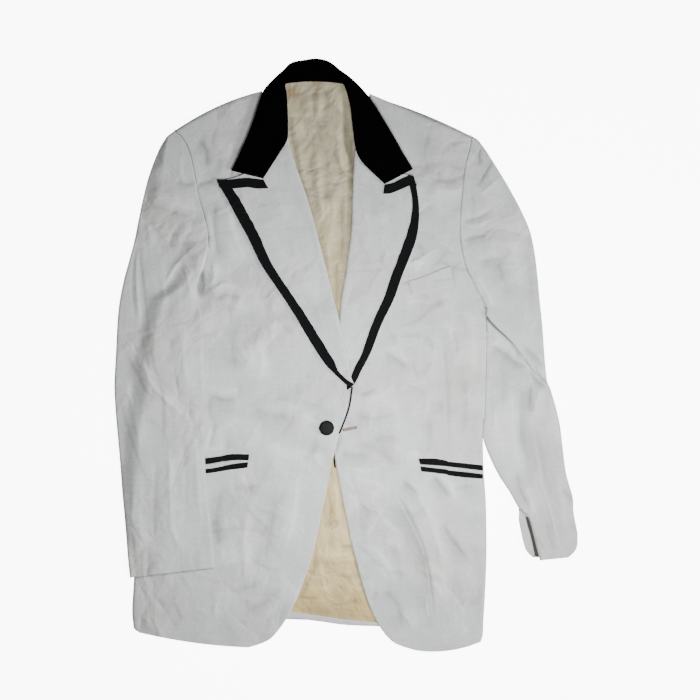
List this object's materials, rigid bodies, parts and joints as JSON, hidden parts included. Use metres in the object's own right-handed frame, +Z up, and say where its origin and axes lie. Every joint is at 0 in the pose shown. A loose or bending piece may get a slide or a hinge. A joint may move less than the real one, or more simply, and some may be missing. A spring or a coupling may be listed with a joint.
{
  "type": "tuxedo jacket",
  "caption": "Pale tuxedo jacket laid flat, with a black velvet collar, braid-edged peak lapels and pockets, and a cream lining.",
  "frame": {"origin": "on the resting surface, under the middle of the laid-out jacket", "axes": "+Z up out of the surface the back lies on, +Y towards the neck, +X towards the wearer's left side"},
  "size_m": [0.65, 0.832, 0.0168],
  "materials": {
    "cloth": "matte white wool cloth in a fine plain weave with small slubs",
    "velvet": "black velvet with a short nap",
    "braid": "charcoal-black ribbed braid",
    "lining": "cream satin lining with a soft sheen",
    "button": "black cloth over a round button",
    "buttonhole": "tan buttonhole twist",
    "vent_lining": "dark grey twill lining in the cuff vent"
  },
  "bodies": {
    "root": {"back_right": "cloth", "back_left": "cloth", "side_panel_right": "cloth", "side_panel_left": "cloth", "back_lining": "lining", "back_hem": "cloth", "front_right": "cloth", "front_left": "cloth", "lapel_right": "cloth", "lapel_left": "cloth", "lapel_braid_right": "braid", "lapel_braid_left": "braid", "gorge_braid_right": "braid", "gorge_braid_left": "braid", "edge_braid_right": "braid", "edge_braid_left": "braid", "collar": "velvet", "collar_fall": "velvet", "sleeve_right_top": "cloth", "sleeve_right_under": "cloth", "sleeve_left_top": "cloth", "sleeve_left_under": "cloth", "cuff_vent_flap": "cloth", "cuff_vent_lining": "vent_lining", "hip_braid_upper_right": "braid", "hip_braid_lower_right": "braid", "hip_jet_right": "cloth", "hip_braid_upper_left": "braid", "hip_braid_lower_left": "braid", "hip_jet_left": "cloth", "chest_welt": "cloth", "front_button": "button", "buttonhole": "buttonhole"}
  },
  "joints": []
}
